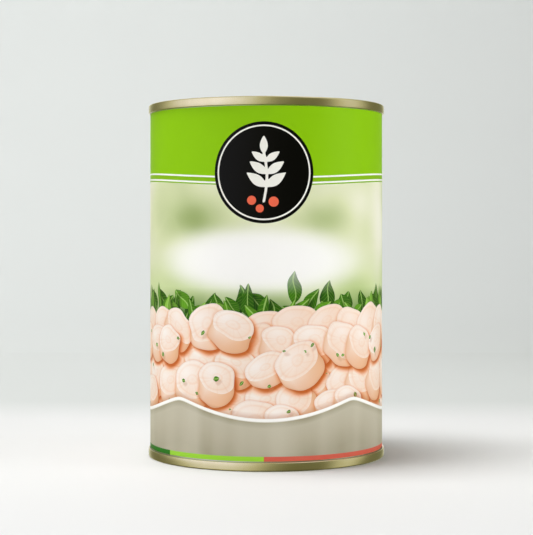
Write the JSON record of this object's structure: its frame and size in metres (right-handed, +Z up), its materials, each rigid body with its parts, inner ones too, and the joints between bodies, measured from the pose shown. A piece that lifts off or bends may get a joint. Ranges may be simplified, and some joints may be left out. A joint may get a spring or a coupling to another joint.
{
  "type": "food can",
  "caption": "Sealed round steel food can with double-seamed ends and a wrap-around paper label, filled with peeled root batons in brine.",
  "frame": {"origin": "centre of the circle that the can stands on, at the bottom seam's lower edge", "axes": "+Z up along the can's axis, -Y towards the middle of the label's front, +X to its right"},
  "size_m": [0.0748, 0.0748, 0.1105],
  "materials": {
    "tinplate": "bright tinplate, satin",
    "lacquered_tinplate": "gold-lacquered tinplate, satin",
    "sealing_compound": "matte",
    "printed_paper": "coated, semi-gloss",
    "brine": "clear, faintly yellow",
    "salsify_flesh": "wet, cooked"
  },
  "bodies": {
    "root": {"can_body": "tinplate", "top_end": "lacquered_tinplate", "bottom_end": "lacquered_tinplate", "top_seam_seal": "sealing_compound", "bottom_seam_seal": "sealing_compound", "label": "printed_paper", "brine": "brine", "salsify_lower_01": "salsify_flesh", "salsify_lower_02": "salsify_flesh", "salsify_lower_03": "salsify_flesh", "salsify_lower_04": "salsify_flesh", "salsify_lower_05": "salsify_flesh", "salsify_lower_06": "salsify_flesh", "salsify_lower_07": "salsify_flesh", "salsify_lower_08": "salsify_flesh", "salsify_lower_09": "salsify_flesh", "salsify_lower_10": "salsify_flesh", "salsify_lower_11": "salsify_flesh", "salsify_upper_01": "salsify_flesh", "salsify_upper_02": "salsify_flesh", "salsify_upper_03": "salsify_flesh", "salsify_upper_04": "salsify_flesh", "salsify_upper_05": "salsify_flesh", "salsify_upper_06": "salsify_flesh", "salsify_upper_07": "salsify_flesh", "salsify_upper_08": "salsify_flesh", "salsify_upper_09": "salsify_flesh", "salsify_upper_10": "salsify_flesh", "salsify_upper_11": "salsify_flesh"}
  },
  "joints": []
}
